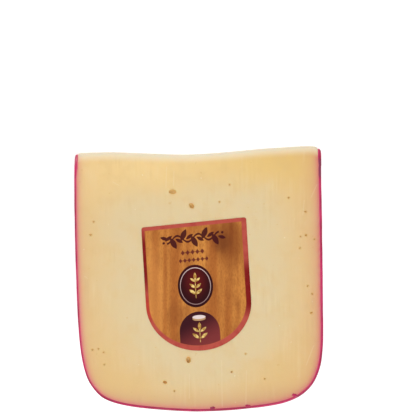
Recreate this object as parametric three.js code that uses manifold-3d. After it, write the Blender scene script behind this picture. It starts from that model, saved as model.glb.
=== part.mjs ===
// A wedge of semi-hard cheese, cut from a round wheel. A coloured wax coat covers the wheel's two flat sides and its
// rim, and is missing on the two cut faces and at the tip. A paper label is stuck on one cut face.
//
// Millimetres, +Z up. The wedge lies on its plain cut face, with the labelled cut face on top. The wheel's axis is
// parallel to X, so the wheel's flat sides face -X and +X. The tip points to +Y and the rim to -Y.
// The origin is under the middle of the wedge.

import * as THREE from "three";
import { mergeVertices } from "three/addons/utils/BufferGeometryUtils.js";
import Module from "manifold-3d";

const wasm = await Module();
wasm.setup();

// The wheel and the cut.
const WEDGE_ANGLE = THREE.MathUtils.degToRad(30); // one twelfth of a wheel
const COAT_THICKNESS = 1.2;
const CLEARANCE = 0.3; // between the coat and the paste, and between the paste and the label

// Half of the wheel's section, as [radius, x]. It runs from the middle of one flat side, over both shoulders and the
// crowned rim, to the middle of the other. One side is a little flatter than the other, as a pressed wheel's is.
const WHEEL_SECTION = [
  [0, -54.3],
  [30, -54.4],
  [62, -53.6],
  [87, -52.3],
  [101, -50.0],
  [109, -46.3],
  [114.6, -39.5],
  [117.7, -26],
  [119.4, 0],
  [117.7, 25.6],
  [114.6, 40.3],
  [109, 48.6],
  [101, 52.8],
  [90, 54.4],
  [70, 54.4],
  [30, 53.9],
  [0, 53.2],
];
const SECTION_STEPS = 60;
const WHEEL_STEP = THREE.MathUtils.degToRad(3);

// The tip's blunt end, as [x, distance from the wheel's axis]. The knife left it short of the axis, and it isn't straight.
const TIP_EDGE = [
  [-60, 6.0],
  [-38, 5.6],
  [-20, 6.1],
  [-5, 6.5],
  [12, 5.6],
  [28, 4.1],
  [46, 3.05],
  [60, 4.1],
];
const TIP_STEPS = 4; // between one point of the edge and the next
const WELL_OUTSIDE = 140; // past the wheel on every side

// The label: straight sides, a round foot and a head cut slightly out of square. Its own y points to the tip.
const LABEL_WIDTH = 46;
const LABEL_HEAD_LEFT = 26;
const LABEL_HEAD_RIGHT = 27.8;
const LABEL_SIDES_END = -8.5;
const LABEL_FOOT_DEPTH = 20.7;
const LABEL_THICKNESS = 0.3;
const LABEL_CENTRE = new THREE.Vector2(-0.55, -63.5); // x, and minus the distance from the wheel's axis
const LABEL_TILT = THREE.MathUtils.degToRad(3.5);

const PASTE = new THREE.MeshStandardMaterial({ color: 0xe6c897, roughness: 0.5, metalness: 0 });
const COAT = new THREE.MeshStandardMaterial({ color: 0xc02a5c, roughness: 0.35, metalness: 0 });
const LABEL = new THREE.MeshStandardMaterial({ color: 0x8a4a22, roughness: 0.4, metalness: 0 });

// A closed geometry as a solid that can be joined and cut.
function solid(geometry) {
  const bare = geometry.clone().deleteAttribute("normal").deleteAttribute("uv");
  const merged = mergeVertices(bare, 1e-4);
  const mesh = new wasm.Mesh({
    numProp: 3,
    vertProperties: merged.attributes.position.array,
    triVerts: new Uint32Array(merged.index.array),
  });
  return new wasm.Manifold(mesh);
}

// A solid's surface as a geometry.
function surface(body) {
  const { vertProperties, triVerts } = body.getMesh();
  const geometry = new THREE.BufferGeometry();
  geometry.setAttribute("position", new THREE.BufferAttribute(vertProperties, 3));
  geometry.setIndex(new THREE.BufferAttribute(triVerts, 1));
  geometry.computeVertexNormals();
  return geometry;
}

// The wheel's section, moved inwards by inset, with its two ends on the axis.
function sectionInset(inset) {
  const curve = new THREE.SplineCurve(WHEEL_SECTION.map(([radius, x]) => new THREE.Vector2(radius, x)));
  const points = [];
  for (let i = 0; i <= SECTION_STEPS; i++) {
    const t = i / SECTION_STEPS;
    const point = curve.getPoint(t);
    const along = curve.getTangent(t);
    point.add(new THREE.Vector2(-along.y, along.x).multiplyScalar(inset));
    if (i === 0 || i === SECTION_STEPS) point.x = 0;
    points.push(point);
  }
  return points;
}

// A whole wheel round the X axis, smaller than the coated one by inset all over.
function wheel(inset) {
  const steps = Math.round((2 * Math.PI) / WHEEL_STEP);
  const geometry = new THREE.LatheGeometry(sectionInset(inset), steps);
  geometry.rotateZ(-Math.PI / 2);
  return solid(geometry);
}

// An outline's prism, from -reach to +reach along its third axis. The axes are given as directions in the wheel's frame.
function prism(shape, reach, across, up, through) {
  const geometry = new THREE.ExtrudeGeometry(shape, { depth: 2 * reach, bevelEnabled: false, curveSegments: TIP_STEPS });
  geometry.translate(0, 0, -reach);
  geometry.applyMatrix4(new THREE.Matrix4().makeBasis(across, up, through));
  return solid(geometry);
}

// The space between the two cut faces. The lower face is level, and the upper one turns up from it about the axis.
function betweenTheCuts() {
  const sector = new THREE.Shape();
  sector.moveTo(0, 0);
  sector.lineTo(WELL_OUTSIDE, 0);
  sector.lineTo(WELL_OUTSIDE, WELL_OUTSIDE * Math.tan(WEDGE_ANGLE));
  sector.closePath();
  const towardsRim = new THREE.Vector3(0, -1, 0);
  const up = new THREE.Vector3(0, 0, 1);
  const along = new THREE.Vector3(-1, 0, 0);
  return prism(sector, WELL_OUTSIDE, towardsRim, up, along);
}

// The space on the rim's side of the tip's edge, which runs straight through the wedge's thickness.
function behindTheTip() {
  const outline = new THREE.Shape();
  outline.moveTo(TIP_EDGE[0][0], TIP_EDGE[0][1]);
  outline.splineThru(TIP_EDGE.slice(1).map(([x, distance]) => new THREE.Vector2(x, distance)));
  outline.lineTo(WELL_OUTSIDE, WELL_OUTSIDE);
  outline.lineTo(-WELL_OUTSIDE, WELL_OUTSIDE);
  outline.closePath();
  const half = WEDGE_ANGLE / 2;
  const side = new THREE.Vector3(1, 0, 0);
  const towardsRim = new THREE.Vector3(0, -Math.cos(half), Math.sin(half));
  const through = new THREE.Vector3(0, -Math.sin(half), -Math.cos(half));
  return prism(outline, WELL_OUTSIDE, side, towardsRim, through);
}

const cut = betweenTheCuts().intersect(behindTheTip());

function cheesePaste() {
  const body = wheel(COAT_THICKNESS + CLEARANCE).intersect(cut);
  const mesh = new THREE.Mesh(surface(body), PASTE);
  mesh.name = "cheese_paste";
  return mesh;
}

function waxRind() {
  const body = wheel(0).subtract(wheel(COAT_THICKNESS)).intersect(cut);
  const mesh = new THREE.Mesh(surface(body), COAT);
  mesh.name = "wax_rind";
  return mesh;
}

function faceLabel() {
  const half = LABEL_WIDTH / 2;
  const outline = new THREE.Shape();
  outline.moveTo(half, LABEL_HEAD_RIGHT);
  outline.lineTo(-half, LABEL_HEAD_LEFT);
  outline.lineTo(-half, LABEL_SIDES_END);
  outline.absellipse(0, LABEL_SIDES_END, half, LABEL_FOOT_DEPTH, Math.PI, 2 * Math.PI, false, 0);
  outline.closePath();
  const geometry = new THREE.ExtrudeGeometry(outline, {
    depth: LABEL_THICKNESS,
    bevelEnabled: false,
    curveSegments: 24,
  });
  const mesh = new THREE.Mesh(geometry, LABEL);
  mesh.name = "face_label";
  mesh.position.set(LABEL_CENTRE.x, LABEL_CENTRE.y, CLEARANCE);
  mesh.rotation.z = LABEL_TILT;
  const onUpperFace = new THREE.Group();
  onUpperFace.rotation.x = -WEDGE_ANGLE;
  onUpperFace.add(mesh);
  return onUpperFace;
}

const wedge = new THREE.Group();
wedge.add(cheesePaste(), waxRind(), faceLabel());

const box = new THREE.Box3().setFromObject(wedge, true);
const centre = box.getCenter(new THREE.Vector3());
wedge.position.set(-centre.x, -centre.y, -box.min.z);

export default wedge;
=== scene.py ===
# A wedge of semi-hard cheese with a magenta coat and a printed label, lying on its plain cut face.
# The wheel that it was cut from has its axis parallel to X, at the tip. The labelled cut face is on top.
import math

import bmesh
import bpy
import numpy as np
from mathutils import Matrix, Vector, noise


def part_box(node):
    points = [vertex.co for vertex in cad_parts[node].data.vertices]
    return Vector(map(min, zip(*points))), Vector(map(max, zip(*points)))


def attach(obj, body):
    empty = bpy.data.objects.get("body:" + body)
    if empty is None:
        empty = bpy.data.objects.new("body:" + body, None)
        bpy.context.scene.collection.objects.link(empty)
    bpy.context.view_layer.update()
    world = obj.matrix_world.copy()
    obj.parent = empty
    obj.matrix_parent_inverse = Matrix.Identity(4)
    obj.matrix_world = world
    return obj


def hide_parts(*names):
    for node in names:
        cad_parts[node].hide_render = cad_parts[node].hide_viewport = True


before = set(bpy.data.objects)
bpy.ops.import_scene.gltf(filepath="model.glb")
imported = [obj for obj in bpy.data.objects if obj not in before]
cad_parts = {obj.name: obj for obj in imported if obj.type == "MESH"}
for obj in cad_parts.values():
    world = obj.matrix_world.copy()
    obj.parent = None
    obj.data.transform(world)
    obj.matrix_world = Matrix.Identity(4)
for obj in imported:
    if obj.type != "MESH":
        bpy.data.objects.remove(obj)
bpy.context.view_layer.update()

# ----------------------------------------------------------------------------------------------------------
# The paste: the cheese itself, one solid cut from a pressed wheel with a wire, springy and a little moist.
# Both cut faces are bare. The wrapping squeezed the tip round, and small gas holes lie open in the faces.
# Lengths are in millimetres round the wheel's axis until a mesh is made.

MM = 0.001
WHEEL_RADIUS = 119.4
WEDGE_ANGLE = math.radians(30)
COAT_THICKNESS = 1.2

# Half of the wheel's section as (radius, x), from the middle of one flat side round the rim to the other.
WHEEL_SECTION = [
    (0, -54.3), (30, -54.4), (62, -53.6), (87, -52.3), (101, -50.0), (109, -46.3),
    (114.6, -39.5), (117.7, -26), (WHEEL_RADIUS, 0), (117.7, 25.6), (114.6, 40.3),
    (109, 48.6), (101, 52.8), (90, 54.4), (70, 54.4), (30, 53.9), (0, 53.2),
]

# The tip as seen square to the labelled face: (x, distance from the wheel's axis), left to right.
TIP_OUTLINE = [
    (-53.1, 8.6), (-52.7, 6.9), (-51.2, 6.3), (-38, 5.95), (-22, 6.5), (-6, 6.95), (10, 6.1),
    (26, 4.6), (41, 3.6), (47, 3.3), (50.8, 3.5), (52.0, 4.4), (52.5, 6.4),
]
NOSE_SHARPNESS = 0.75
LOOP_STEPS = 460  # round a cut face
FACE_RINGS = 60  # from its middle to its edge
SIDE_STEPS = 26  # from one cut face to the other
FACE_MIDDLE = (0.0, 62.0)


def spline(points, steps):
    """Points along a curve that passes smoothly through the given ones."""
    points = np.array(points, float)
    last = len(points) - 1
    t = np.linspace(0, last, steps)
    i = np.minimum(t.astype(int), last - 1)
    w = (t - i)[:, None]
    before, start, end, after = (points[np.clip(i + k, 0, last)] for k in (-1, 0, 1, 2))
    leave, arrive = (end - before) / 2, (after - start) / 2
    cubic = 2 * start - 2 * end + leave + arrive
    square = -3 * start + 3 * end - 2 * leave - arrive
    return cubic * w**3 + square * w**2 + leave * w + start


def evenly(points, steps, closed=False):
    """The same line with its points evenly spaced."""
    line = np.vstack([points, points[:1]]) if closed else points
    run = np.concatenate([[0], np.cumsum(np.linalg.norm(np.diff(line, axis=0), axis=1))])
    at = np.linspace(0, run[-1], steps + 1)[:-1] if closed else np.linspace(0, run[-1], steps)
    return np.stack([np.interp(at, run, line[:, k]) for k in range(line.shape[1])], axis=1)


def smooth(low, high, value):
    t = np.clip((value - low) / (high - low), 0, 1)
    return t * t * (3 - 2 * t)


def nearest(points, line):
    """Each point's distance to the nearest point of a line."""
    parts = [np.linalg.norm(part[:, None, :] - line[None, :, :], axis=2).min(axis=1)
             for part in np.array_split(points, max(1, len(points) // 2000))]
    return np.concatenate(parts)


# The section of the wheel without its coat, and the wheel's axis in the frame.
section = spline(WHEEL_SECTION, 600)
along = np.gradient(section, axis=0)
along /= np.linalg.norm(along, axis=1)[:, None]
under_coat = section + np.stack([-along[:, 1], along[:, 0]], axis=1) * COAT_THICKNESS
coat_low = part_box("wax_rind")[0]
AXIS_X = coat_low.x / MM - section[:, 1].min()
AXIS_Y = coat_low.y / MM + WHEEL_RADIUS


def nose(down):
    """The tip's section as (y, z): a conic that leaves the cut faces at 1 and is steep in its middle."""
    upper, lower, middle = (1 - down) ** 2, down**2, 2 * NOSE_SHARPNESS * down * (1 - down)
    y = -(upper * math.cos(WEDGE_ANGLE) + lower) / (upper + middle + lower)
    z = upper * math.sin(WEDGE_ANGLE) / (upper + middle + lower)
    return y, z


# A cut face's outline in (x, radius): down the left side, over the rim, up the right side and along the tip.
# At the tip the radius is where the nose leaves the face.
nose_y, nose_z = nose(np.linspace(0, 1, 400))
nose_reach = (nose_z * math.sin(WEDGE_ANGLE) - nose_y * math.cos(WEDGE_ANGLE)).min()
tip = spline(TIP_OUTLINE, 200)
tip[:, 1] /= nose_reach
sides = evenly(under_coat[:, ::-1], 1600)
left = np.arange(len(sides)) < len(sides) // 2
sides = sides[np.where(left, sides[:, 1] > tip[0, 1] + 0.8, sides[:, 1] > tip[-1, 1] + 0.8)]
loop = evenly(np.vstack([sides, tip[::-1]]), LOOP_STEPS, closed=True)
coated = nearest(loop, sides) < 0.3

# How far each point of the outline belongs to the nose: all the way along the tip, and fading down the sides.
nose_share = 1 - smooth(0.5, 11.0, nearest(loop, tip))


def outline_at(j):
    """The outline's x, its radius and its share of the nose, at points and between them."""
    given = (loop[:, 0], loop[:, 1], nose_share)
    return [np.interp(j, np.arange(LOOP_STEPS), v, period=LOOP_STEPS)[:, None] for v in given]


def side_surface(j, down):
    """The surface between the cut faces, at outline points j and shares down from upper face to lower."""
    x, radius, share = outline_at(j)
    turn = WEDGE_ANGLE * (1 - down)
    nose_y, nose_z = nose(down)
    y = radius * ((1 - share) * -np.cos(turn) + share * nose_y)
    z = radius * ((1 - share) * np.sin(turn) + share * nose_z)
    return np.stack([x + 0 * y, y, z], axis=2)


def unevenness(x, radius, seed):
    """How far a cut face has sunk below the flat of the cut, in slow waves that the wrapping pressed in."""
    sunk = np.empty(len(x))
    for i in range(len(x)):
        wide = noise.noise(Vector((x[i] / 34, radius[i] / 40, seed)))
        narrow = noise.noise(Vector((x[i] / 11, radius[i] / 17, seed + 9)))
        sunk[i] = 0.20 + 0.22 * wide + 0.06 * narrow
    return np.clip(sunk, 0, None)


UP_FROM_FACE = np.array([0, math.sin(WEDGE_ANGLE), math.cos(WEDGE_ANGLE)])


def face_surface(plan, upper):
    """Points of a cut face from (x, radius). The face is flat at its edge and uneven inside it."""
    x, radius = plan[:, 0], plan[:, 1]
    sunk = unevenness(x, radius, 3.0 if upper else 40.0) * smooth(0.0, 9.0, nearest(plan, loop))
    turn = WEDGE_ANGLE if upper else 0.0
    flat = np.stack([x, -radius * math.cos(turn), radius * math.sin(turn)], axis=1)
    return flat + sunk[:, None] * (-UP_FROM_FACE if upper else np.array([0, 0, 1]))


def to_frame(points):
    """Millimetres round the wheel's axis to metres in the frame."""
    return (np.asarray(points) + (AXIS_X, AXIS_Y, 0)) * MM


def piece(name, points, faces):
    mesh = bpy.data.meshes.new(name)
    mesh.from_pydata([tuple(p) for p in to_frame(points)], [], faces)
    mesh.shade_smooth()
    made = bpy.data.objects.new(name, mesh)
    bpy.context.scene.collection.objects.link(made)
    return made


def attribute(made, name, values):
    layer = made.data.attributes.new(name, "FLOAT", "POINT")
    layer.data.foreach_set("value", np.asarray(values, "float32"))


def strips(rows, columns, first=0, closed=True):
    """Quads between rows of points that are numbered one row after another."""
    faces = []
    for i in range(rows - 1):
        for k in range(columns if closed else columns - 1):
            a, b = first + i * columns + k, first + i * columns + (k + 1) % columns
            faces.append((a, a + columns, b + columns, b))
    return faces


# Rings from the middle of the upper face out to its edge, down the side, and back in to the middle below.
middle = np.array([FACE_MIDDLE])
out_shares = 1 - (1 - np.linspace(0, 1, FACE_RINGS + 1)[1:]) ** 1.25
rings = [middle + (loop - middle) * share for share in out_shares]
down = np.linspace(0, 1, SIDE_STEPS + 1)[1:-1]
between = side_surface(np.arange(LOOP_STEPS), down[None, :]).transpose(1, 0, 2).reshape(-1, 3)
upper = face_surface(np.vstack([middle, *rings]), upper=True)
lower = face_surface(np.vstack([*rings[::-1], middle]), upper=False)
faces = strips(2 * FACE_RINGS + len(down), LOOP_STEPS, first=1)
last = len(upper) + len(between) + len(lower) - 1
for k in range(LOOP_STEPS):
    following = (k + 1) % LOOP_STEPS
    faces.append((0, 1 + k, 1 + following))
    faces.append((last, last - LOOP_STEPS + following, last - LOOP_STEPS + k))
paste = piece("cheese_paste_fine", np.vstack([upper, between, lower]), faces)


class Wire:
    """A socket of a material's node tree. Arithmetic on wires adds Math nodes."""

    def __init__(self, tree, socket=None):
        self.tree, self.socket = tree, socket

    def node(self, kind, sockets=None, out=0, **settings):
        made = self.tree.nodes.new(kind)
        for name, value in settings.items():
            setattr(made, name, value)
        for name, value in (sockets or {}).items():
            if isinstance(value, Wire):
                self.tree.links.new(value.socket, made.inputs[name])
            else:
                made.inputs[name].default_value = value
        return Wire(self.tree, made.outputs[out])

    def maths(self, operation, *values):
        return self.node("ShaderNodeMath", dict(enumerate(values)), operation=operation)

    def __add__(self, other):
        return self.maths("ADD", self, other)

    def __sub__(self, other):
        return self.maths("SUBTRACT", self, other)

    def __mul__(self, other):
        return self.maths("MULTIPLY", self, other)

    def __truediv__(self, other):
        return self.maths("DIVIDE", self, other)

    def __pow__(self, other):
        return self.maths("POWER", self, other)

    def __rsub__(self, other):
        return self.maths("SUBTRACT", other, self)

    def __rtruediv__(self, other):
        return self.maths("DIVIDE", other, self)

    def __abs__(self):
        return self.maths("ABSOLUTE", self)

    __radd__ = __add__
    __rmul__ = __mul__

    def least(self, other):
        return self.maths("MINIMUM", self, other)

    def most(self, other):
        return self.maths("MAXIMUM", self, other)

    def fading(self, length):
        """1 at zero, falling off with distance."""
        return self.maths("EXPONENT", self / -length)

    def step(self, low, high):
        """0 at low and below, 1 at high and above, smooth between."""
        return self.node("ShaderNodeMapRange", {"Value": self, "From Min": low, "From Max": high},
                         interpolation_type="SMOOTHSTEP")

    def mix(self, start, end):
        """A colour between two, with this wire as the share of the second."""
        return self.node("ShaderNodeMix", {0: self, 6: start, 7: end}, out=2, data_type="RGBA")


def srgb(red, green, blue):
    """A colour as a painter would name it, 0 to 255, in the shader's linear light."""
    parts = [c / 255 for c in (red, green, blue)]
    return (*[c / 12.92 if c < 0.04045 else ((c + 0.055) / 1.055) ** 2.4 for c in parts], 1.0)


def material(name):
    """An empty Principled material, its shader and a wire to build its patterns from."""
    made = bpy.data.materials.new(name)
    made.use_nodes = True
    return made, made.node_tree.nodes["Principled BSDF"], Wire(made.node_tree)


def connect(shader, socket, wire):
    wire.tree.links.new(wire.socket, shader.inputs[socket])


def millimetres(start):
    """The piece's own coordinates, in millimetres."""
    place = start.node("ShaderNodeTexCoord", out="Object")
    return place.node("ShaderNodeVectorMath", {0: place, "Scale": 1000.0}, operation="SCALE")


def mottle(place, size, detail=2.0, stretch=None, roughness=0.5):
    """Smooth noise about 0.5, with blotches of a size in millimetres, drawn out along an axis by stretch."""
    if stretch is not None:
        place = place.node("ShaderNodeVectorMath", {0: place, 1: stretch}, operation="MULTIPLY")
    return place.node("ShaderNodeTexNoise", {"Vector": place, "Scale": 1 / size, "Detail": detail,
                                             "Roughness": roughness})


def own_value(start, name):
    return start.node("ShaderNodeAttribute", out="Fac", attribute_name=name)


def bump(height, strength, distance):
    return height.node("ShaderNodeBump", {"Height": height, "Strength": strength, "Distance": distance * MM})


# The gas holes. Each is a lumpy oval pit: (x, distance from the axis, length, width, turn in degrees, depth).
UPPER_HOLES = [
    (-11.4, 23.3, 3.3, 2.0, 0, 0.8), (-3.1, 29.4, 3.4, 1.9, -57, 0.9), (-4.4, 96.7, 3.6, 2.1, 88, 0.9),
    (-14.7, 106.5, 1.9, 1.2, -25, 0.9), (39.3, 25.9, 0.8, 0.6, 0, 0.5), (46.7, 32.0, 1.0, 0.7, -10, 0.5),
    (46.9, 42.2, 1.1, 0.7, -20, 0.5), (44.5, 42.8, 0.6, 0.5, 0, 0.4), (50.6, 44.0, 0.7, 0.6, 0, 0.4),
    (44.3, 47.9, 0.7, 0.5, 30, 0.4), (47.6, 64.4, 0.8, 0.6, 40, 0.4), (49.6, 67.9, 0.9, 0.6, -60, 0.4),
    (49.2, 76.2, 1.2, 0.8, 5, 0.5), (-45.9, 36.4, 0.8, 0.6, 10, 0.4), (-47.2, 42.1, 1.0, 0.8, 0, 0.4),
    (-46.4, 92.3, 0.8, 0.6, 0, 0.4), (-43.8, 91.9, 0.6, 0.5, 0, 0.4), (-41.5, 93.4, 0.7, 0.5, 20, 0.4),
    (-41.2, 98.8, 0.6, 0.5, 0, 0.4), (14.4, 102.0, 0.9, 0.7, 0, 0.6), (20.5, 94.1, 0.7, 0.5, 0, 0.4),
    (28.9, 105.0, 0.7, 0.6, 0, 0.4), (-10.6, 110.3, 0.7, 0.6, 0, 0.5), (9.1, 27.7, 0.7, 0.5, 0, 0.4),
    (13.5, 20.2, 0.6, 0.5, 0, 0.4),
]
LOWER_HOLES = [
    (18.0, 40.0, 3.2, 2.0, 20, 1.3), (-22.0, 71.0, 4.0, 2.2, -70, 1.5), (8.5, 95.0, 2.6, 1.6, 85, 1.2),
    (-35.0, 52.0, 1.2, 0.9, 0, 0.6), (31.0, 78.0, 1.3, 1.0, 15, 0.6), (2.0, 60.0, 0.9, 0.8, 0, 0.5),
    (36.0, 101.0, 1.0, 0.8, 0, 0.5), (-12.0, 33.0, 1.4, 0.9, 35, 0.6),
]

# Fine creases of the clear wrapping over the labelled face, painted on the paste as pale lines of highlight:
# (x, distance from axis) at both ends.
CREASES = [
    ((49.2, 25.6), (51.6, 20.2)), ((-4.0, 103.0), (-4.1, 113.5)), ((10.0, 97.0), (10.3, 117.0)),
    ((20.9, 101.5), (20.6, 116.0)), ((47.0, 99.0), (50.2, 90.5)), ((-50.4, 98.0), (-46.8, 106.5)),
    ((45.5, 33.5), (46.1, 27.0)), ((-37.5, 19.0), (-35.0, 20.4)), ((-49.8, 60.2), (-48.4, 61.2)),
    ((-14.0, 12.5), (-14.3, 21.5)), ((-10.8, 14.5), (-11.0, 20.5)),
]
CREASE_WIDTH = 0.34


def hole_centre(x, radius, upper):
    return face_surface(np.array([[x, radius]]), upper)[0]


def tanned(place):
    """How near a point is to a gas hole: the cheese has darkened a little round each one."""
    near = 0.0
    for holes, upper in ((UPPER_HOLES, True), (LOWER_HOLES, False)):
        for x, radius, length, *_ in holes:
            centre = tuple(to_frame(hole_centre(x, radius, upper)) / MM)
            away = place.node("ShaderNodeVectorMath", {0: place, 1: centre}, out="Value",
                              operation="DISTANCE")
            near = (1 - away / (0.45 * length + 0.75)).most(near)
    return near.step(0.0, 0.9)


def crease_highlight(place):
    """How near a point is to a crease."""
    near = 0.0
    for ends in CREASES:
        start, end = (to_frame(hole_centre(x, radius, True)) / MM for x, radius in ends)
        run = end - start
        v = place.node("ShaderNodeVectorMath", {0: place, 1: tuple(start)}, operation="SUBTRACT")
        share = v.node("ShaderNodeVectorMath", {0: v, 1: tuple(run / (run @ run))}, out="Value",
                       operation="DOT_PRODUCT")
        foot = v.node("ShaderNodeVectorMath", {0: tuple(run), "Scale": share.most(0.0).least(1.0)},
                      operation="SCALE")
        away = v.node("ShaderNodeVectorMath", {0: v, 1: foot}, out="Value", operation="DISTANCE")
        near = (1 - away / CREASE_WIDTH).most(near)
    return near.step(0.0, 1.0)


def cheese():
    """Straw yellow, paler round the label, golden to the tip and the corners, dyed pink by the coat; with
    painted shade darker to the right and towards the rim, and painted highlight along the tip and the
    wrapping's creases.
    """
    made, shader, start = material("cheese")
    place = millimetres(start)
    from_coat, from_tip = own_value(start, "from_coat"), own_value(start, "from_tip")
    from_label, in_hole = own_value(start, "from_label"), own_value(start, "in_hole")
    x = place.node("ShaderNodeSeparateXYZ", {0: place}, out="X")
    # Painted shade: the share towards the right, where the colours below are darker as the side in shade.
    shade_rightwards = x.step(-30, 52)
    drift = mottle(place, 17, 3.0)
    halo = 1 - (from_label + (drift - 0.5) * 12).step(6, 26)
    colour = halo.mix(srgb(224, 194, 140), srgb(220, 199, 156))
    corners = (1 - from_coat.step(4, 30)) * from_tip.step(70, 104) * abs(x).step(8, 40)
    colour = (corners * 0.75).mix(colour, srgb(222, 187, 126))
    golden = (1 - from_tip.step(2, 34)) * (0.6 + 0.6 * mottle(place, 19, 2.0)) * (1 - halo * 0.8)
    colour = golden.mix(colour, shade_rightwards.mix(srgb(236, 205, 144), srgb(226, 190, 114)))
    # Painted shade: darker towards the rim, and darker still beside the coat there.
    shade_towards_rim = from_tip.step(101, 115) * 0.75
    colour = shade_towards_rim.mix(colour, srgb(208, 172, 130))
    colour = (shade_towards_rim * from_coat.fading(3.0) * 0.6).mix(colour, srgb(190, 140, 112))
    cloud = mottle(place, 7, 4.0)
    colour = (cloud.step(0.45, 0.72) * 0.28).mix(colour, srgb(218, 184, 124))
    streaks = mottle(place, 1.3, 3.0, stretch=(1.0, 0.06, 0.06))
    patches = mottle(place, 13, 2.0).step(0.42, 0.7)
    colour = (streaks.step(0.45, 0.8) * patches * 0.30).mix(colour, srgb(234, 214, 170))
    colour = ((1 - streaks.step(0.25, 0.48)) * patches * 0.22).mix(colour, srgb(206, 172, 120))
    flecks = mottle(place, 2.1, 1.0).step(0.745, 0.80)
    colour = (flecks * 0.3).mix(colour, srgb(206, 162, 90))
    crystals = 1 - mottle(place, 1.5, 1.0).step(0.17, 0.23)
    colour = (crystals * 0.4).mix(colour, srgb(246, 234, 206))
    # Tanned beside the coat, partly real; its deepening to the right is painted shade.
    tanning_and_shade = from_coat.fading(5.0) * (0.18 + 0.5 * shade_rightwards) * (0.6 + 0.6 * mottle(place, 9, 2.0))
    colour = tanning_and_shade.mix(colour, srgb(204, 150, 106))
    # The coat's dye in the paste, painted deeper to the right as part of that painted shade.
    blush = from_coat.fading(1.6) * (0.45 + 0.2 * shade_rightwards) * (1 - 0.35 * from_tip.step(98, 112))
    colour = blush.mix(colour, srgb(214, 140, 120))
    dyed = from_coat.fading(0.8) * 0.92
    colour = dyed.mix(colour, shade_rightwards.mix(srgb(222, 116, 122), srgb(212, 92, 112)))
    # Painted highlight: a pale band along the tip, where light catches the rounded nose and its wrapping.
    edge = 1 - from_tip.step(0.0, 4.8)
    colour = (edge * 0.9 * (1 - blush)).mix(colour, srgb(234, 222, 195))
    colour = ((1 - from_tip.step(-1.0, 2.2)) * 0.8).mix(colour, srgb(204, 196, 175))
    # Painted highlight: pale lines along the wrapping's creases.
    colour = (crease_highlight(place) * 0.22).mix(colour, srgb(240, 222, 190))
    colour = (tanned(place) * 0.5).mix(colour, srgb(206, 162, 86))
    colour = (in_hole * 0.85).mix(colour, srgb(214, 168, 92))
    connect(shader, "Base Color", colour)
    connect(shader, "Roughness", 0.34 + 0.2 * mottle(place, 6, 3.0))
    surface = mottle(place, 0.6, 3.0) * 0.05 + mottle(place, 3.4, 2.0) * 0.10 + streaks * 0.05
    connect(shader, "Normal", bump(surface, 0.7, 0.6))
    shader.inputs["Specular IOR Level"].default_value = 0.4
    shader.inputs["Subsurface Weight"].default_value = 0.28
    shader.inputs["Subsurface Radius"].default_value = (1.0, 0.55, 0.25)
    shader.inputs["Subsurface Scale"].default_value = 2.2 * MM
    shader.inputs["Coat Weight"].default_value = 0.2
    shader.inputs["Coat Roughness"].default_value = 0.16
    return made


cheese_finish = cheese()


def hole_places():
    """A point for each hole, with its half sizes and its turn stored on it."""
    places, sizes, turns = [], [], []
    for holes, upper in ((UPPER_HOLES, True), (LOWER_HOLES, False)):
        for x, radius, length, width, turn, depth in holes:
            places.append(hole_centre(x, radius, upper))
            sizes.append(np.array([length / 2, width / 2, depth]) * MM)
            turns.append((-WEDGE_ANGLE if upper else 0.0, 0.0, math.radians(turn if upper else -turn)))
    made = piece("hole_places", places, [])
    for name, values in (("hole_size", sizes), ("hole_turn", turns)):
        layer = made.data.attributes.new(name, "FLOAT_VECTOR", "POINT")
        layer.data.foreach_set("vector", np.array(values, "float32").ravel())
    return made


def hole_tree(finish):
    """Geometry nodes that cut a lumpy pit into a solid at each given point."""
    tree = bpy.data.node_groups.new("gas_holes", "GeometryNodeTree")
    face = tree.interface
    face.new_socket("Geometry", in_out="INPUT", socket_type="NodeSocketGeometry")
    face.new_socket("Places", in_out="INPUT", socket_type="NodeSocketObject")
    lump = face.new_socket("Lumpiness", in_out="INPUT", socket_type="NodeSocketFloat")
    lump_size = face.new_socket("Lump Size", in_out="INPUT", socket_type="NodeSocketFloat")
    face.new_socket("Geometry", in_out="OUTPUT", socket_type="NodeSocketGeometry")
    start = Wire(tree)
    given = tree.nodes.new("NodeGroupInput")
    solid, places, lumpiness, size = (Wire(tree, given.outputs[i]) for i in range(4))
    spots = start.node("GeometryNodeObjectInfo", {"Object": places}, out="Geometry")
    ball = start.node("GeometryNodeMeshIcoSphere", {"Radius": 1.0, "Subdivisions": 4})
    scale = start.node("GeometryNodeInputNamedAttribute", {"Name": "hole_size"}, data_type="FLOAT_VECTOR")
    turn = start.node("GeometryNodeInputNamedAttribute", {"Name": "hole_turn"}, data_type="FLOAT_VECTOR")
    turn = start.node("FunctionNodeEulerToRotation", {0: turn})
    pits = start.node("GeometryNodeInstanceOnPoints", {"Points": spots, "Instance": ball, "Rotation": turn,
                                                       "Scale": scale})
    pits = start.node("GeometryNodeRealizeInstances", {"Geometry": pits})
    where = start.node("GeometryNodeInputPosition")
    lumps = start.node("ShaderNodeTexNoise", {"Vector": where, "Scale": 1 / size, "Detail": 1.0}, out=1)
    lumps = start.node("ShaderNodeVectorMath", {0: lumps, 1: (0.5, 0.5, 0.5)}, operation="SUBTRACT")
    lumps = start.node("ShaderNodeVectorMath", {0: lumps, "Scale": lumpiness}, operation="SCALE")
    pits = start.node("GeometryNodeSetPosition", {"Geometry": pits, "Offset": lumps})
    cut = start.node("GeometryNodeMeshBoolean", {"Mesh 1": solid, "Mesh 2": pits}, operation="DIFFERENCE",
                     solver="EXACT")
    cut = start.node("GeometryNodeRealizeInstances", {"Geometry": cut})
    cut = start.node("GeometryNodeSetMaterial", {"Geometry": cut, "Material": finish})
    tree.links.new(cut.socket, tree.nodes.new("NodeGroupOutput").inputs[0])
    return tree, {lump.identifier: 0.18 * MM, lump_size.identifier: 0.9 * MM}


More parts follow.
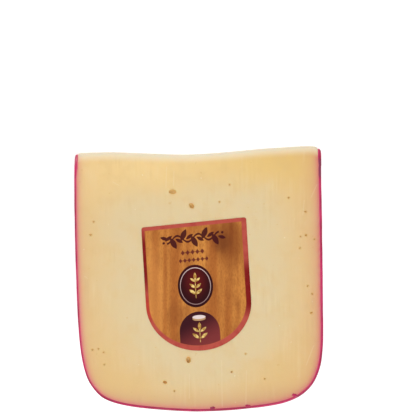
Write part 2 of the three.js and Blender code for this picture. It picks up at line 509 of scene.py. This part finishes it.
def grow(made, tree, values):
    """Runs a node tree on a piece and keeps the result as the piece's plain mesh."""
    step = made.modifiers.new(tree.name, "NODES")
    step.node_group = tree
    for identifier, value in values.items():
        step[identifier] = value
    graph = bpy.context.evaluated_depsgraph_get()
    grown = bpy.data.meshes.new_from_object(made.evaluated_get(graph), preserve_all_data_layers=True,
                                            depsgraph=graph)
    made.modifiers.remove(step)
    old, made.data = made.data, grown
    bpy.data.meshes.remove(old)
    grown.name = made.name


spots = hole_places()
tree, values = hole_tree(cheese_finish)
places_socket = next(s for s in tree.interface.items_tree if s.name == "Places")
grow(paste, tree, {places_socket.identifier: spots, **values})
bpy.data.objects.remove(spots)


def places_of(made):
    """A piece's points in millimetres round the wheel's axis."""
    places = np.empty(3 * len(made.data.vertices), "float32")
    made.data.vertices.foreach_get("co", places)
    return places.reshape(-1, 3) / MM - (AXIS_X, AXIS_Y, 0)


# Each point's distance from the coat and from the tip, as seen square to the labelled face.
x, y, z = places_of(paste).T
along_face = z * math.sin(WEDGE_ANGLE) - y * math.cos(WEDGE_ANGLE)
coat_line = under_coat[under_coat[:, 0] > 8, ::-1]
attribute(paste, "from_coat", nearest(np.stack([x, np.hypot(y, z)], axis=1), coat_line))
attribute(paste, "from_tip", along_face - np.interp(x, tip[:, 0], tip[:, 1] * nose_reach))


def mark_holes(made):
    """Stores on the cheese how much each point belongs to a gas hole: near its centre and below the face."""
    places = places_of(made)
    share = np.zeros(len(places))
    for holes, out in ((UPPER_HOLES, UP_FROM_FACE), (LOWER_HOLES, np.array([0, 0, -1]))):
        for x, radius, length, *_ in holes:
            away = places - hole_centre(x, radius, holes is UPPER_HOLES)
            near = np.linalg.norm(away, axis=1) < 0.5 * length + 0.4
            share[near] = np.maximum(share[near], smooth(0.03, 0.14, -(away[near] @ out)))
    attribute(made, "in_hole", share)


mark_holes(paste)
paste.data.set_sharp_from_angle(angle=math.radians(38))

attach(paste, "root")
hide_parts("cheese_paste")

# ----------------------------------------------------------------------------------------------------------
# The coat: a thin, glossy magenta skin, brushed over the whole wheel in layers and cut with the cheese.
# It clings to the two flat sides, the shoulders and the rim. Its cut edge shows beside both cut faces, and
# the cut left three small lumps of it on the upper one.

COAT_EDGE = 0.5  # how far the cut edge is rounded
COAT_STEPS = 34  # from one cut face to the other
EDGE_STEPS = 6
LEFT_WRAP, RIGHT_WRAP = 4.8, 5.4  # outline points that the coat runs on round the two corners of the tip
LIP = 2.5  # outline points over which an end thins out
BRUISE = (54.0, 13.0, 5.2)  # a dull patch by the tip: x, distance from the axis and reach


def surface_normals(j, down):
    """Directions straight out of the side surface: the outline's own, turned round the axis."""
    (x, radius, _), (next_x, next_radius, _) = outline_at(j - 0.8), outline_at(j + 0.8)
    length = np.hypot(next_x - x, next_radius - radius)
    out_x, out_radius = (radius - next_radius) / length, (next_x - x) / length
    places = side_surface(j, down)
    turn = np.arctan2(places[:, :, 2], -places[:, :, 1])
    return np.stack([out_x + 0 * turn, -out_radius * np.cos(turn), out_radius * np.sin(turn)], axis=2)


def between_cuts(points):
    """The points, with any that stand past a cut face brought back to it."""
    above = points @ UP_FROM_FACE
    points = points - np.clip(above, 0, None)[:, :, None] * UP_FROM_FACE
    points[:, :, 2] = np.clip(points[:, :, 2], 0, None)
    return points


def coat_rows():
    """The coat's sections along the outline, closer together at its two ends, and how thick each one is."""
    first, last = -LEFT_WRAP, coated.sum() - 1 + RIGHT_WRAP
    lip = LIP * (1 - np.cos(np.linspace(0, math.pi / 2, 6)[:-1]))
    j = np.concatenate([first + lip, np.arange(first + LIP, last - LIP, 0.9), last - lip[::-1]])
    end = np.minimum(j - first, last - j) / LIP
    thin = np.sqrt(1 - (1 - np.clip(end, 0, 1)) ** 2)
    uneven = np.array([noise.noise(Vector((i / 9.0, 2.0, 0.0))) for i in j])
    return j, COAT_THICKNESS * (0.22 + 0.78 * thin) * (0.93 + 0.07 * uneven)


def coat_points():
    """Points of the coat's outside and inside, in rows right round its section at each place along it."""
    j, thick = coat_rows()
    run = side_surface(j, np.linspace(0, 1, 40)[None, :])
    width = np.linalg.norm(np.diff(run, axis=1), axis=2).sum(axis=1)[:, None]
    turn = np.linspace(0, math.pi / 2, EDGE_STEPS)[None, :]
    edge = np.minimum(COAT_EDGE, thick * 0.8)[:, None]
    back, rise = edge * (1 - np.cos(turn)), thick[:, None] - edge * (1 - np.sin(turn))
    inner = edge + (width - 2 * edge) * np.linspace(0, 1, COAT_STEPS)[None, 1:-1]
    none, full = np.zeros((len(j), 1)), thick[:, None] + 0 * inner
    shares = np.hstack([none, back, inner, width - back[:, ::-1], none + width]) / width
    out = np.hstack([none, rise, full, rise[:, ::-1], none])
    base, normal = side_surface(j, shares), surface_normals(j, shares)
    outside, inside = (between_cuts(base + normal * (0.01 + o)[:, :, None]) for o in (out, 0 * out))
    return out, outside, inside


# Lumps of wax that the cut drew over the upper edge: (x, distance from the axis, half width, turn).
LUMPS = [(6.1, 117.7, 1.2, 2), (21.7, 116.9, 1.15, -6), (41.9, 112.2, 1.2, -22)]
LUMP_HEIGHT = 0.22
LUMP_DEPTH = 0.55  # from its tip side to its rim side, as a share of its width
LUMP_ROUGHNESS = 0.45


def lump(x, radius, half, degrees):
    """A flat round lump that lies on the upper cut face."""
    shape = bmesh.new()
    bmesh.ops.create_icosphere(shape, subdivisions=3, radius=1.0)
    turn = math.radians(degrees)
    across = np.array([math.cos(turn), 0, 0]) + math.sin(turn) * np.array([0, 1, 0])
    up = np.array([-math.sin(turn), math.cos(turn), 0])
    tilt = np.array(Matrix.Rotation(-WEDGE_ANGLE, 3, "X"))
    axes = np.stack([across * half, up * half * LUMP_DEPTH, np.array([0, 0, LUMP_HEIGHT])])
    swell = [1 + LUMP_ROUGHNESS * noise.noise(v.co * 1.6 + Vector((x, 0, 0))) for v in shape.verts]
    ball = np.array([v.co * share for v, share in zip(shape.verts, swell)])
    faces = [tuple(v.index for v in face.verts) for face in shape.faces]
    shape.free()
    return hole_centre(x, radius, True) + ball @ axes @ tilt.T, faces


def close_skin(made):
    """Joins the points that coincide, and turns every face outwards."""
    shape = bmesh.new()
    shape.from_mesh(made.data)
    bmesh.ops.remove_doubles(shape, verts=shape.verts, dist=0.0001 * MM)
    bmesh.ops.recalc_face_normals(shape, faces=shape.faces)
    shape.to_mesh(made.data)
    shape.free()


def coat_mesh():
    out, outside, inside = coat_points()
    rows, columns = out.shape
    half = rows * columns
    faces = strips(rows, columns, closed=False)
    faces += [tuple(half + i for i in face[::-1]) for face in faces]
    for k in range(columns - 1):
        for i in (0, rows - 1):
            a, b = i * columns + k, i * columns + k + 1
            end = (a, b, half + b, half + a)
            faces.append(end if i == 0 else end[::-1])
    for i in range(rows - 1):
        for k in (0, columns - 1):
            a, b = i * columns + k, (i + 1) * columns + k
            rim = (a, b, half + b, half + a)
            faces.append(rim[::-1] if k == 0 else rim)
    points = [outside.reshape(-1, 3), inside.reshape(-1, 3)]
    for given in LUMPS:
        count = sum(len(part) for part in points)
        ball, ball_faces = lump(*given)
        points.append(ball)
        faces += [tuple(count + i for i in face) for face in ball_faces]
    outwards = np.full(sum(len(part) for part in points), COAT_THICKNESS)
    outwards[:2 * half] = np.concatenate([out.ravel(), 0 * out.ravel()])
    made = piece("wax_rind_fine", np.vstack(points), faces)
    attribute(made, "outwards", outwards)
    close_skin(made)
    return made


coat = coat_mesh()


def wax():
    """Glossy magenta with crimson and pink clouds; on the cut, painted paler to the left as lit and darker
    crimson at the rim as shaded.
    """
    made, shader, start = material("magenta_coat")
    place = millimetres(start)
    outwards = own_value(start, "outwards")
    cloud = mottle(place, 13, 3.0).step(0.35, 0.68)
    colour = cloud.mix(srgb(158, 16, 62), srgb(196, 30, 92))
    brushed = mottle(place, 2.4, 3.0, stretch=(0.25, 1.0, 1.0)).step(0.45, 0.8)
    colour = (brushed * 0.35).mix(colour, srgb(218, 70, 122))
    dark = mottle(place, 4.5, 2.0).step(0.56, 0.74)
    colour = (dark * 0.55).mix(colour, srgb(104, 16, 52))
    cut = 1 - outwards.step(0.0, 0.7)
    x, y = (place.node("ShaderNodeSeparateXYZ", {0: place}, out=axis) for axis in "XY")
    # Painted shade: the cut darker crimson towards the rim.
    rimward_shade = 1 - y.step(-40, -30)
    colour = (cut * 0.8).mix(colour, rimward_shade.mix(srgb(212, 64, 110), srgb(168, 42, 76)))
    # Painted light: the cut paler pink towards the left, the lit side, away from the rim.
    lit_left_of_cut = cut * (1 - x.step(-50, 20)) * (1 - rimward_shade)
    colour = (lit_left_of_cut * 0.65).mix(colour, srgb(228, 130, 130))
    bruise_x, bruise_radius, reach = BRUISE
    bruise_place = tuple(to_frame(hole_centre(bruise_x, bruise_radius, True)) / MM)
    away = place.node("ShaderNodeVectorMath", {0: place, 1: bruise_place}, out="Value",
                      operation="DISTANCE")
    colour = ((1 - away.step(reach * 0.6, reach)) * 0.8).mix(colour, srgb(124, 52, 78))
    connect(shader, "Base Color", colour)
    connect(shader, "Roughness", 0.22 + 0.2 * mottle(place, 4, 3.0))
    surface = mottle(place, 0.9, 3.0) * 0.35 + mottle(place, 6, 2.0)
    connect(shader, "Normal", bump(surface, 0.5, 0.5))
    shader.inputs["Specular IOR Level"].default_value = 0.4
    shader.inputs["Subsurface Weight"].default_value = 0.1
    shader.inputs["Subsurface Radius"].default_value = (1.0, 0.25, 0.35)
    shader.inputs["Subsurface Scale"].default_value = 0.8 * MM
    shader.inputs["Coat Weight"].default_value = 0.4
    shader.inputs["Coat Roughness"].default_value = 0.08
    return made


coat.data.materials.append(wax())
coat.data.set_sharp_from_angle(angle=math.radians(50))
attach(coat, "root")
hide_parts("wax_rind")

# ----------------------------------------------------------------------------------------------------------
# The label: glossy printed paper, cut out with a round foot and stuck on the upper cut face a little askew.
# It carries a wood-grain print inside a burgundy border, a vine, an oval medallion and a small arched panel.

LABEL_HALF_WIDTH = 23.0
LABEL_HEAD = 26.9  # at its middle; the head is cut out of square
HEAD_SLOPE = 0.039
LABEL_SIDES_END = -8.5
LABEL_FOOT_DEPTH = 20.7
LABEL_CORNER = 1.0
LABEL_CENTRE = (-0.55, 63.5)  # x and distance from the wheel's axis
LABEL_TILT = math.radians(3.5)
PAPER_THICKNESS = 0.14
PAPER_GAP = 0.02
LABEL_COLUMNS = 60


def label_rows():
    """Heights down the label and its half width at each: round corners, straight sides and a round foot."""
    turn = np.linspace(0, math.pi / 2, 6)[:-1]
    corner = [(LABEL_CORNER * (1 - math.cos(a)), LABEL_HALF_WIDTH - LABEL_CORNER * (1 - math.sin(a)))
              for a in turn]
    straight = [(drop, LABEL_HALF_WIDTH)
                for drop in np.linspace(LABEL_CORNER, LABEL_HEAD - LABEL_SIDES_END, 40)]
    turn = np.linspace(0, math.pi / 2 - 0.03, 40)[1:]
    foot = [(LABEL_HEAD - LABEL_SIDES_END + LABEL_FOOT_DEPTH * math.sin(a), LABEL_HALF_WIDTH * math.cos(a))
            for a in turn]
    return np.array([*corner, *straight, *foot])


def label_plan(x, y):
    """The label's own coordinates as (x, radius) on the cut face."""
    cosine, sine = math.cos(LABEL_TILT), math.sin(LABEL_TILT)
    across = LABEL_CENTRE[0] + x * cosine - y * sine
    radius = LABEL_CENTRE[1] - x * sine - y * cosine
    return np.stack([across, radius], axis=-1)


def label_mesh():
    """A thin sheet that follows the cheese under it, with its print's own coordinates stored on it."""
    drop, half = label_rows().T
    across = np.linspace(-1, 1, LABEL_COLUMNS)
    x = half[:, None] * across[None, :]
    share = 1 - np.clip(drop / (LABEL_HEAD - LABEL_SIDES_END), 0, 1)
    y = LABEL_HEAD - drop[:, None] + HEAD_SLOPE * share[:, None] * x
    under = face_surface(label_plan(x, y).reshape(-1, 2), upper=True) + UP_FROM_FACE * PAPER_GAP
    over = under + UP_FROM_FACE * PAPER_THICKNESS
    rows, columns = x.shape
    count = rows * columns
    top = [face[::-1] for face in strips(rows, columns, closed=False)]
    faces = top + [tuple(count + i for i in face[::-1]) for face in top]
    rim = list(range(columns))
    rim += [i * columns + columns - 1 for i in range(1, rows)]
    rim += [(rows - 1) * columns + k for k in range(columns - 2, -1, -1)]
    rim += [i * columns for i in range(rows - 2, 0, -1)]
    for a, b in zip(rim, rim[1:] + rim[:1]):
        faces.append((a, b, count + b, count + a))
    made = piece("face_label_fine", np.vstack([over, under]), faces)
    attribute(made, "print_x", np.concatenate([x.ravel()] * 2))
    attribute(made, "print_y", np.concatenate([y.ravel()] * 2))
    attribute(made, "printed", np.concatenate([np.ones(count), np.zeros(count)]))
    close_skin(made)
    return made


def mark_distance(made):
    """Stores on the cheese how far each point lies outside the label."""
    drop, half = label_rows().T
    y = LABEL_HEAD - drop
    head = np.linspace(-LABEL_HALF_WIDTH, LABEL_HALF_WIDTH, 40)
    head_line = label_plan(head, LABEL_HEAD + HEAD_SLOPE * head)
    outline = np.vstack([label_plan(half, y), label_plan(-half, y), head_line])
    x, y, z = places_of(made).T
    plan = np.stack([x, np.hypot(y, z)], axis=1)
    attribute(made, "from_label", nearest(plan, outline))


label = label_mesh()
mark_distance(paste)


def oval(x, y, half_width, half_height):
    """Millimetres inside an oval about the origin, roughly, and less than zero outside."""
    return (1 - ((x / half_width) ** 2.0 + (y / half_height) ** 2.0) ** 0.5) * min(half_width, half_height)


def leaf(x, y, place, length, width, degrees):
    """Millimetres inside a leaf with two sharp ends."""
    cosine, sine = math.cos(math.radians(degrees)), math.sin(math.radians(degrees))
    dx, dy = x - place[0], y - place[1]
    way = dx * cosine + dy * sine
    off = abs(dy * cosine - dx * sine)
    return (1 - (way * (2 / length)) ** 2.0) * (width / 2) - off


def ink(inside, blur=0.09):
    """How much of a shape's ink lies at a point, from the millimetres inside it."""
    return inside.step(-blur, blur)


def wood_print(x, y, place):
    """Upright boards in two browns, with fine grain and a dark stain."""
    boards = mottle(place, 4.0, 1.0, stretch=(1.0, 0.03, 0.03)).step(0.34, 0.66)
    colour = boards.mix(srgb(210, 140, 66), srgb(176, 104, 46))
    figure = mottle(place, 1.5, 3.0, stretch=(1.0, 0.14, 0.14)).step(0.35, 0.7)
    colour = (figure * 0.3).mix(colour, srgb(146, 80, 36))
    clouds = mottle(place, 6.0, 2.0, stretch=(1.0, 0.5, 0.5)).step(0.44, 0.7)
    colour = (clouds * 0.4).mix(colour, srgb(136, 74, 34))
    grain = mottle(place, 0.5, 3.0, stretch=(1.0, 0.4, 0.4))
    colour = (grain.step(0.4, 0.75) * 0.35).mix(colour, srgb(124, 62, 26))
    worn = oval(x + 19.5, y + 2.0, 5.0, 24.0).step(-1.5, 3.0)
    colour = (worn * 0.4).mix(colour, srgb(224, 150, 78))
    stain = oval(x - 15.0, y - 18.5, 8.0, 13.0).step(-2.0, 5.0) * (0.7 + 0.3 * boards)
    colour = (stain * 0.88).mix(colour, srgb(124, 60, 24))
    knot = oval(x - 12.0, y - 17.5, 4.2, 4.6).step(-2.0, 3.0)
    return (knot * 0.55).mix(colour, srgb(96, 44, 20))


def border_print(x, y, place):
    """Brick red, dark in two places: half way up the left and low on the right; its paler brick elsewhere is
    partly painted reflection of the gloss.
    """
    dark = oval(x + 23, y - 11, 9, 13).step(-2.0, 4.0).most(oval(x - 24, y + 3, 11, 13).step(-2.0, 5.0))
    colour = dark.mix(srgb(182, 80, 68), srgb(122, 20, 20))
    bright = oval(x + 21, y + 9, 8, 7).step(-1.0, 5.0)
    colour = (bright * 0.8).mix(colour, srgb(184, 56, 44))
    return (mottle(place, 3.0, 2.0).step(0.4, 0.75) * 0.4).mix(colour, srgb(152, 44, 44))


def vine(x, y):
    """The flourish across the label's head: a waving stem with leaves and a curl at each end."""
    length, height, waves = 23.0, 1.5, 2.5
    along = x + 0.7
    up = y - 20.2 - along * 0.042
    phase = along * (2 * math.pi * waves / length)
    wave = phase.maths("SINE", phase) * height
    inside = (0.36 - abs(up - wave) * 0.8).least(length / 2 - abs(along))
    for k in range(int(2 * waves)):
        at = (k - waves + 0.5) * length / (2 * waves)
        side = 1 if k % 2 else -1
        inside = inside.most(leaf(along, up, (at + 0.5, side * 1.6), 5.6, 2.4, 64 * side))
        inside = inside.most(leaf(along, up, (at - 1.5, -side * 0.7), 3.8, 1.5, -32 * side))
    for end in (-1, 1):
        inside = inside.most(leaf(along, up, (end * 12.6, -end * 0.9), 3.6, 1.5, -20))
        inside = inside.most(0.55 - ((along - end * 12.9) ** 2.0 + (up - end * 1.1) ** 2.0) ** 0.5)
    return inside


def bead_row(x, y, place, count, pitch, height):
    """A row of small lozenges with a dot between each two, under the vine."""
    dx, dy = x - place[0], y - place[1] - (x - place[0]) * 0.042
    part = abs(dx.maths("WRAP", dx, pitch / 2, -pitch / 2))
    lozenge = (1 - part * (2.45 / pitch) - abs(dy) * (2 / height)) * 0.5
    dot = 0.2 - ((pitch / 2 - part) ** 2.0 + dy**2.0) ** 0.5
    return lozenge.most(dot).least(count * pitch / 2 - 0.35 - abs(dx))


def sprig(x, y, foot, height, pairs, spread):
    """An upright stem with pairs of leaves and one at the top."""
    dx, dy = x - foot[0], y - foot[1]
    inside = (0.16 - abs(dx)).least(dy).least(height * 0.8 - dy)
    size = height / (pairs + 1.1)
    for k in range(pairs):
        up = size * (k + 0.75)
        reach = size * (1.0 - 0.12 * k)
        for end in (-1, 1):
            inside = inside.most(leaf(dx, dy, (end * reach * 0.52 * spread, up + reach * 0.30),
                                      reach * 1.35, reach * 0.48, 90 - end * 52))
    return inside.most(leaf(dx, dy, (0, height - size * 0.55), size * 1.3, size * 0.5, 90))


def gold_with_painted_sheen(place):
    """Gold ink, painted light and dark in turn as highlight and shade on foil."""
    return mottle(place, 1.4, 1.0).step(0.35, 0.65).mix(srgb(168, 122, 54), srgb(236, 206, 126))


def medallion(x, y, place, under):
    """An upright dark oval with a fine silver line inside its edge, painted brighter towards the top as a
    highlight, and a gold sprig.
    """
    medal = oval(x + 0.9, y + 0.9, 7.7, 9.3)
    warm = oval(x + 0.9, y - 1.0, 6.0, 8.0).step(-1.0, 5.5)
    colour = ink(medal).mix(under, (warm * 0.8).mix(srgb(46, 8, 14), srgb(104, 22, 20)))
    # Painted highlight: the silver line brighter towards the top.
    silver_highlight = y.step(-12, 9)
    silver = silver_highlight.mix(srgb(150, 118, 116), srgb(222, 196, 192))
    colour = (ink(0.14 - abs(medal - 1.1)) * 0.9).mix(colour, silver)
    return ink(sprig(x, y, (-0.9, -6.2), 11.0, 3, 1.0)).mix(colour, gold_with_painted_sheen(place))


def arched_panel(x, y, place, panel, under):
    """A plain dark arch on the lower border, with a small cheese wheel and a gold sprig."""
    arch_x, arch_y = x + 0.2, y + 20.9
    dome = (8.8 - (arch_x**2.0 + arch_y**2.0) ** 0.5).most((8.8 - abs(arch_x)).least(0.0 - arch_y))
    shade = (y - x * 0.5).step(-28.0, -14.0)
    colour = ink(dome.least(panel)).mix(under, shade.mix(srgb(124, 50, 50), srgb(58, 18, 26)))
    colour = ink(sprig(x, y, (-0.2, -25.6), 8.6, 2, 1.25)).mix(colour, gold_with_painted_sheen(place))
    lid = oval(arch_x, y + 14.5, 2.8, 0.85)
    wheel = oval(arch_x, y + 15.3, 2.8, 0.85).most((2.8 - abs(arch_x)).least(0.4 - abs(y + 14.9)))
    colour = ink(wheel).mix(colour, srgb(186, 146, 104))
    return ink(lid).mix(colour, srgb(226, 208, 206))


def printed_label():
    """Gloss paper printed from edge to edge, plain white paper behind."""
    made, shader, start = material("printed_paper")
    place = millimetres(start)
    x, y, printed = (own_value(start, name) for name in ("print_x", "print_y", "printed"))
    panel_x, half = x + 0.38, 21.2
    head = 25.2 + HEAD_SLOPE * x - y
    foot = oval(panel_x, y - LABEL_SIDES_END, half, 18.4).most(y - LABEL_SIDES_END)
    panel = (half - abs(panel_x)).least(head).least(foot)
    colour = ink(panel, 0.2).mix(border_print(x, y, place), wood_print(x, y, place))
    colour = (ink(vine(x, y)) * 0.95).mix(colour, srgb(66, 14, 20))
    beads = bead_row(x, y, (-1.3, 14.0), 5, 2.14, 2.3).most(bead_row(x, y, (-1.0, 10.6), 7, 1.92, 2.0))
    colour = (ink(beads) * 0.9).mix(colour, srgb(92, 24, 28))
    colour = medallion(x, y, place, colour)
    colour = arched_panel(x, y, place, panel, colour)
    colour = printed.mix(srgb(232, 226, 214), colour)
    connect(shader, "Base Color", colour)
    connect(shader, "Roughness", 0.14 + 0.1 * mottle(place, 6, 3.0))
    surface = mottle(place, 0.7, 2.0) * 0.2 + mottle(place, 12, 2.0)
    connect(shader, "Normal", bump(surface, 0.35, 0.4))
    shader.inputs["Specular IOR Level"].default_value = 0.12
    shader.inputs["Coat Weight"].default_value = 0.14
    shader.inputs["Coat Roughness"].default_value = 0.06
    return made


label.data.materials.append(printed_label())
label.data.set_sharp_from_angle(angle=math.radians(40))
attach(label, "root")
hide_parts("face_label")

# ----------------------------------------------------------------------------------------------------------
# The camera looks square to the labelled face, with the tip at the top. The lamps are wide and soft, and the
# white table is lit a little from within, as a light table is.

CAMERA_DISTANCE = 0.95
VIEW_WIDTH = 183.5  # millimetres across the picture, at the face
VIEW_CENTRE = (4.95, 31.25)  # x and distance from the wheel's axis, in the middle of the picture
SENSOR_WIDTH = 36

target = Vector(to_frame(face_surface(np.array([VIEW_CENTRE]), upper=True)[0]))
towards_camera = Vector(UP_FROM_FACE)
camera_data = bpy.data.cameras.new("camera")
camera_data.sensor_width = SENSOR_WIDTH
camera_data.lens = SENSOR_WIDTH * CAMERA_DISTANCE / (VIEW_WIDTH * MM)
camera = bpy.data.objects.new("camera", camera_data)
bpy.context.scene.collection.objects.link(camera)
camera.location = target + towards_camera * CAMERA_DISTANCE
picture_up = Vector((0, math.cos(WEDGE_ANGLE), -math.sin(WEDGE_ANGLE)))
picture_right = picture_up.cross(towards_camera)
axes = Matrix((picture_right, picture_up, towards_camera)).transposed()
camera.rotation_mode = "QUATERNION"
camera.rotation_quaternion = axes.to_quaternion()
bpy.context.scene.camera = camera


def lamp(name, towards, strength, softness, colour=(1, 1, 1)):
    """A wide, even light that comes from one direction, as from a large softbox far away."""
    data = bpy.data.lights.new(name, "SUN")
    data.energy, data.color, data.angle = strength * math.pi, colour, math.radians(softness)
    made = bpy.data.objects.new(name, data)
    made.rotation_mode = "QUATERNION"
    made.rotation_quaternion = Vector(towards).to_track_quat("Z", "Y")
    bpy.context.scene.collection.objects.link(made)


ROOM_LIGHT = 0.38
TABLE_GREY = 0.5
TABLE_GLOW = 0.72

lamp("softbox_above", (0.28, -0.34, 0.87), 0.56, 60)
lamp("softbox_left", (-0.50, 0.79, 0.36), 0.45, 44, (1.0, 0.985, 0.96))

world = bpy.data.worlds.new("studio")
world.use_nodes = True
world.node_tree.nodes["Background"].inputs["Color"].default_value = (1, 1, 1, 1)
world.node_tree.nodes["Background"].inputs["Strength"].default_value = ROOM_LIGHT
bpy.context.scene.world = world
bpy.context.scene.view_settings.view_transform = "Standard"

FLOOR_HALF = 6.0
floor_mesh = bpy.data.meshes.new("floor")
corners = [(-FLOOR_HALF, -FLOOR_HALF, 0), (FLOOR_HALF, -FLOOR_HALF, 0), (FLOOR_HALF, FLOOR_HALF, 0),
           (-FLOOR_HALF, FLOOR_HALF, 0)]
floor_mesh.from_pydata(corners, [], [(0, 1, 2, 3)])
floor = bpy.data.objects.new("floor", floor_mesh)
bpy.context.scene.collection.objects.link(floor)
paint, paint_shader, _ = material("white_table")
paint_shader.inputs["Base Color"].default_value = (TABLE_GREY, TABLE_GREY, TABLE_GREY, 1)
paint_shader.inputs["Roughness"].default_value = 0.9
paint_shader.inputs["Specular IOR Level"].default_value = 0.1
paint_shader.inputs["Emission Color"].default_value = (1, 1, 1, 1)
paint_shader.inputs["Emission Strength"].default_value = TABLE_GLOW
floor_mesh.materials.append(paint)
